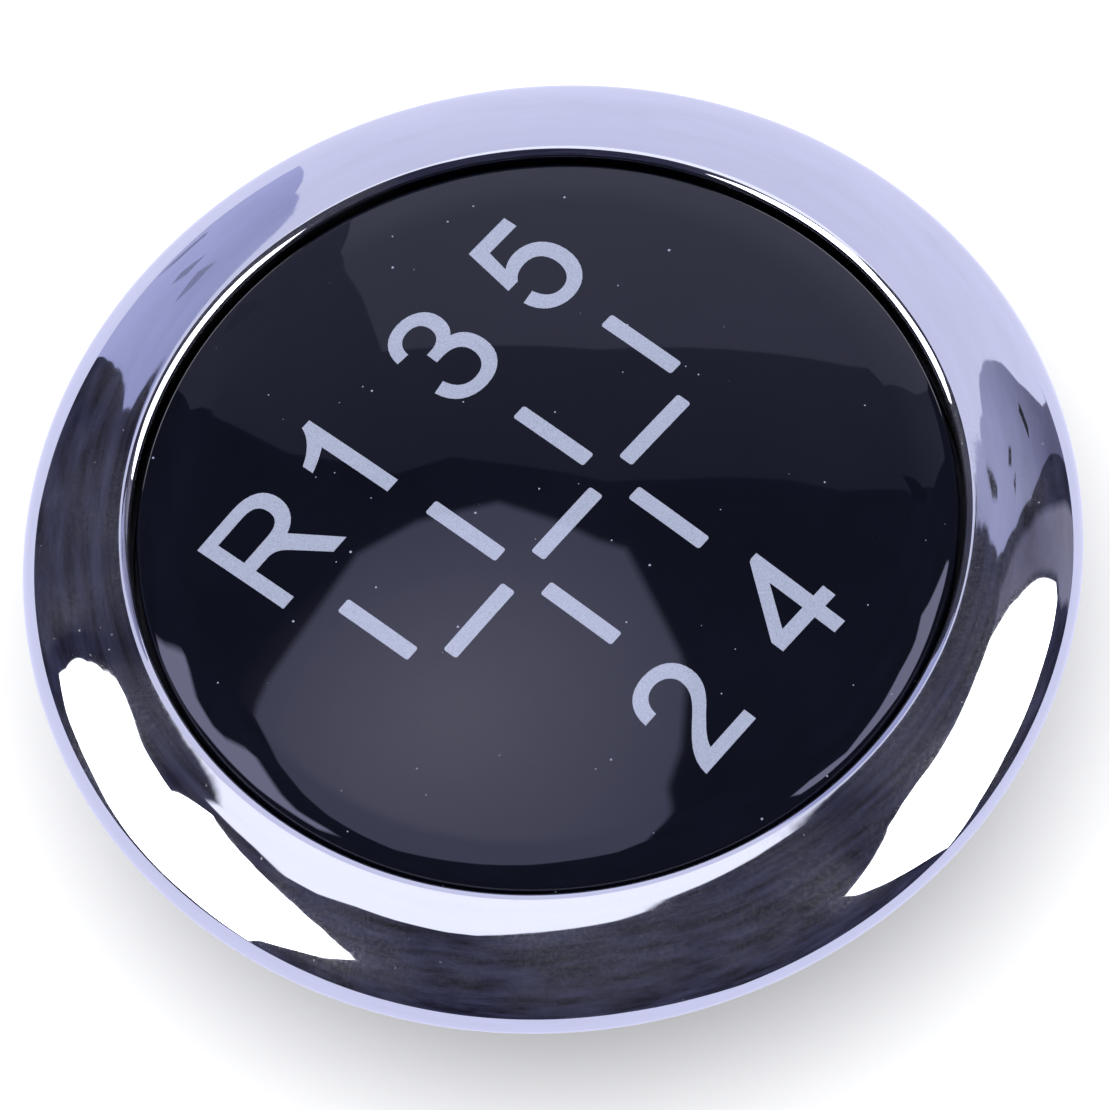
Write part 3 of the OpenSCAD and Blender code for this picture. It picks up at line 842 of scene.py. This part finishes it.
# %% Gates of the shift pattern
GATE_PITCH = 4.86 * MM
DASH_LENGTH = 3.27 * MM
DASH_WIDTH = 0.6 * MM
DASH_CORNER = 0.1 * MM
GATE_GAP = 1.05 * MM        # from the neutral row to the near end of a gate
PATTERN_DROP = 1.06 * MM    # the neutral row lies this far below the middle of the disc


def gate_tree():
    """Geometry Nodes that set one dash out along the three rows of the pattern."""
    tree, given = new_tree("gate_pattern", [
        ("Gate Pitch", "Float"), ("Dash Length", "Float"), ("Dash Width", "Float"),
        ("Dash Corner", "Float"), ("Gate Gap", "Float"), ("Pattern Drop", "Float"),
        ("Upper Gates", "Int"), ("Lower Gates", "Int"), ("Material", "Material")])
    box = add(tree, "GeometryNodeCurvePrimitiveQuadrilateral", {
        "Width": given["Dash Length"], "Height": given["Dash Width"]})
    rounded = add(tree, "GeometryNodeFilletCurve", {
        "Curve": box, "Count": 4, "Radius": given["Dash Corner"]}, mode="POLY")
    dash = add(tree, "GeometryNodeFillCurve", {"Curve": rounded}, mode="TRIANGLES")
    half = add(tree, "ShaderNodeMath", {0: given["Dash Length"], 1: 0.5}, operation="MULTIPLY")
    reach = add(tree, "ShaderNodeMath", {0: given["Gate Gap"], 1: half})
    fewer = add(tree, "ShaderNodeMath", {0: given["Upper Gates"], 1: 1}, operation="SUBTRACT")
    drop = add(tree, "ShaderNodeMath", {0: given["Pattern Drop"], 1: -1}, operation="MULTIPLY")
    every_dash = add(tree, "GeometryNodeJoinGeometry")
    rows = [(given["Upper Gates"], 1, 90), (given["Lower Gates"], -1, 90), (fewer, 0, 0)]
    for count, side, turn in rows:
        height = add(tree, "ShaderNodeMath", {0: reach, 1: side, 2: drop}, operation="MULTIPLY_ADD")
        steps = add(tree, "ShaderNodeMath", {0: count, 1: 1}, operation="SUBTRACT")
        width = add(tree, "ShaderNodeMath", {0: steps, 1: given["Gate Pitch"]}, operation="MULTIPLY")
        start = add(tree, "ShaderNodeMath", {0: width, 1: -0.5}, operation="MULTIPLY")
        first = add(tree, "ShaderNodeCombineXYZ", {"X": start, "Y": height})
        step = add(tree, "ShaderNodeCombineXYZ", {"X": given["Gate Pitch"]})
        places = add(tree, "GeometryNodeMeshLine", {"Count": count, "Start Location": first,
                                                    "Offset": step})
        row = add(tree, "GeometryNodeInstanceOnPoints", {
            "Points": places, "Instance": dash, "Rotation": (0, 0, radians(turn))})
        tree.links.new(row.outputs[0], every_dash.inputs[0])
    flat = add(tree, "GeometryNodeRealizeInstances", {"Geometry": every_dash})
    cut = add(tree, "GeometryNodeSubdivideMesh", {"Mesh": flat, "Level": 1})
    add(tree, "NodeGroupOutput", {"Geometry": wrap_nodes(tree, cut, given["Material"])})
    return tree


gates = run_tree("gate_dashes", bpy.data.meshes.new("empty_start"), gate_tree(), {
    "Gate Pitch": GATE_PITCH, "Dash Length": DASH_LENGTH, "Dash Width": DASH_WIDTH,
    "Dash Corner": DASH_CORNER, "Gate Gap": GATE_GAP, "Pattern Drop": PATTERN_DROP,
    "Upper Gates": 4, "Lower Gates": 2, "Material": silver})
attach(gates, "root")
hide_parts("gate_lines")
black_only.objects.link(gates)

# %% [markdown]
# ## The numerals
# R and the digits 1 to 5 mark the gates. They are plain grotesque figures of one stroke width, drawn
# here from straight lines and a few curves on a grid of millimetres: x from the figure's left side
# and y from its foot. A curve is a point with its two handles before it.

# %% Outlines of the numerals, in millimetres
R_OUTER = [
    (0, 0), (0, 4.08), (1.95, 4.08), ((2.85, 4.08), (3.30, 3.68), (3.30, 3.02)),
    ((3.30, 2.45), (2.95, 2.00), (2.38, 1.84)), (3.50, 0), (2.78, 0), (1.98, 1.25),
    ((1.78, 1.56), (1.60, 1.79), (1.20, 1.79)), (0.58, 1.79), (0.58, 0)
]
R_COUNTER = [
    (0.58, 3.58), (0.58, 2.34), (1.85, 2.34), ((2.40, 2.34), (2.66, 2.55), (2.66, 2.97)),
    ((2.66, 3.35), (2.45, 3.58), (1.95, 3.58))
]
ONE = [(1.60, 0), (1.60, 4.2), (1.20, 4.2), ((1.05, 3.75), (0.55, 3.35), (0.02, 3.15)), (0.02, 2.68),
       ((0.45, 2.80), (0.80, 2.98), (1.02, 3.10)), (1.02, 0)]
TWO = [
    (0, 0), (2.74, 0), (2.74, 0.53), (0.87, 0.53), ((1.07, 0.93), (1.42, 1.18), (1.77, 1.48)),
    ((2.32, 1.88), (2.74, 2.28), (2.74, 2.93)), ((2.74, 3.63), (2.22, 4.10), (1.42, 4.10)),
    ((0.62, 4.10), (0.10, 3.63), (0.06, 2.83)), (0.64, 2.83),
    ((0.67, 3.28), (0.97, 3.58), (1.42, 3.58)), ((1.82, 3.58), (2.14, 3.28), (2.14, 2.93)),
    ((2.14, 2.43), (1.82, 2.13), (1.37, 1.78)), ((0.72, 1.28), (0.07, 0.83), (0, 0))
]
THREE = [
    (0.13, 3.12), ((0.22, 3.82), (0.70, 4.22), (1.38, 4.22)),
    ((2.05, 4.22), (2.56, 3.82), (2.56, 3.22)), ((2.56, 2.82), (2.42, 2.55), (2.18, 2.38)),
    ((2.60, 2.22), (2.80, 1.82), (2.80, 1.32)), ((2.80, 0.50), (2.22, -0.02), (1.40, -0.02)),
    ((0.60, -0.02), (0.06, 0.45), (0, 1.25)), (0.56, 1.34), ((0.62, 0.80), (0.92, 0.51), (1.40, 0.51)),
    ((1.90, 0.51), (2.19, 0.85), (2.19, 1.32)), ((2.19, 1.80), (1.86, 2.03), (1.32, 2.03)),
    (1.03, 2.03), (1.05, 2.52), (1.25, 2.52), ((1.72, 2.52), (1.96, 2.78), (1.96, 3.17)),
    ((1.96, 3.52), (1.72, 3.72), (1.36, 3.72)), ((0.98, 3.72), (0.70, 3.50), (0.66, 3.08))
]
FOUR = [(0, 0.91), (0, 1.44), (1.94, 4.04), (2.07, 4.10), (2.37, 4.10), (2.37, 1.48), (2.90, 1.48),
        (2.90, 0.91), (2.33, 0.91), (2.33, 0), (1.75, 0), (1.75, 0.91)]
FOUR_COUNTER = [(0.65, 1.48), (1.77, 1.48), (1.77, 3.00)]
FIVE = [
    (0.42, 4.13), (2.38, 4.13), (2.38, 3.55), (0.90, 3.55), (0.70, 2.62),
    ((0.95, 2.78), (1.18, 2.84), (1.42, 2.84)), ((2.18, 2.84), (2.70, 2.27), (2.70, 1.46)),
    ((2.70, 0.57), (2.12, -0.05), (1.32, -0.05)), ((0.58, -0.05), (0.06, 0.42), (0, 1.17)),
    (0.58, 1.26), ((0.66, 0.74), (0.92, 0.49), (1.32, 0.49)),
    ((1.80, 0.49), (2.09, 0.90), (2.09, 1.41)), ((2.09, 1.92), (1.82, 2.25), (1.33, 2.25)),
    ((1.02, 2.25), (0.78, 2.17), (0.58, 1.94)), (0.06, 1.94)
]

UPPER_FOOT = 4.91       # height of the upper row's feet above the middle of the disc
LOWER_FOOT = -11.15
NUMERALS = [
    ((-8.65, UPPER_FOOT), [R_OUTER, R_COUNTER]), ((-3.90, UPPER_FOOT), [ONE]),
    ((1.21, UPPER_FOOT), [THREE]), ((6.03, UPPER_FOOT), [FIVE]),
    ((-4.42, LOWER_FOOT), [TWO]), ((0.93, LOWER_FOOT), [FOUR, FOUR_COUNTER]),
]
CURVE_STEPS = 8
SAME_POINT = 1e-6


def is_curve(corner):
    """True for a point with its two handles before it."""
    return isinstance(corner[0], tuple)


def add_outline(curve, outline, foot):
    """Adds a closed Bezier outline, with its straight sides and its curves."""
    ends = [Vector(corner[2] if is_curve(corner) else corner) for corner in outline]
    if (ends[0] - ends[-1]).length < SAME_POINT:
        closing, outline, ends = outline[-1], outline[:-1], ends[:-1]
        outline = [closing] + outline[1:]
    spline = curve.splines.new("BEZIER")
    spline.bezier_points.add(len(outline) - 1)
    spline.use_cyclic_u = True
    spline.resolution_u = CURVE_STEPS
    for i, corner in enumerate(outline):
        here, before = spline.bezier_points[i], spline.bezier_points[i - 1]
        here.handle_left_type = before.handle_right_type = "FREE"
        leave, arrive = corner[:2] if is_curve(corner) else (ends[i - 1], ends[i])
        here.co = (*((ends[i] + Vector(foot)) * MM), 0)
        before.handle_right = (*((Vector(leave) + Vector(foot)) * MM), 0)
        here.handle_left = (*((Vector(arrive) + Vector(foot)) * MM), 0)


numeral_curve = bpy.data.curves.new("numeral_outlines", "CURVE")
numeral_curve.dimensions = "2D"
for foot, outlines in NUMERALS:
    for outline in outlines:
        add_outline(numeral_curve, outline, foot)
print(len(numeral_curve.splines), "outlines drawn")

# %% Numerals
numerals = run_tree("shift_numerals", numeral_curve, print_on_dome, {"Material": silver})
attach(numerals, "root")
black_only.objects.link(numerals)

# %% [markdown]
# ## Carrier and tape
# The moulded carrier keeps the shape of its solid, with smooth shading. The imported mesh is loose
# triangles, so its points are merged and slivers dissolved first. The piece is then built afresh from
# them, because a copy would keep the shading of each loose triangle. Level faces stay flat, and edges
# sharper than a facet stay crisp. The tape is right as it is, and only gets its foam.

# %% Carrier and tape
CARRIER_WELD = 0.002 * MM
CARRIER_SHARP = 25      # degrees
LEVEL_FACE = 0.999      # a face whose normal rises more steeply than this is level

work = bmesh.new()
work.from_mesh(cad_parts["clip_carrier"].data)
bmesh.ops.remove_doubles(work, verts=work.verts, dist=CARRIER_WELD)
bmesh.ops.dissolve_degenerate(work, dist=CARRIER_WELD, edges=work.edges)
work.verts.index_update()
carrier_mesh = bpy.data.meshes.new("snap_carrier")
carrier_mesh.from_pydata([point.co for point in work.verts], [],
                         [[point.index for point in face.verts] for face in work.faces])
work.free()
for face in carrier_mesh.polygons:
    face.use_smooth = abs(face.normal.z) < LEVEL_FACE
carrier_mesh.set_sharp_from_angle(angle=radians(CARRIER_SHARP))
carrier_mesh.materials.append(abs_plastic)
carrier = link_object("snap_carrier", carrier_mesh)
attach(carrier, "root")
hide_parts("clip_carrier")

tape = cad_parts["mounting_tape"]
tape.data.materials.clear()
tape.data.materials.append(foam)
print("carrier has", len(carrier_mesh.polygons), "faces")
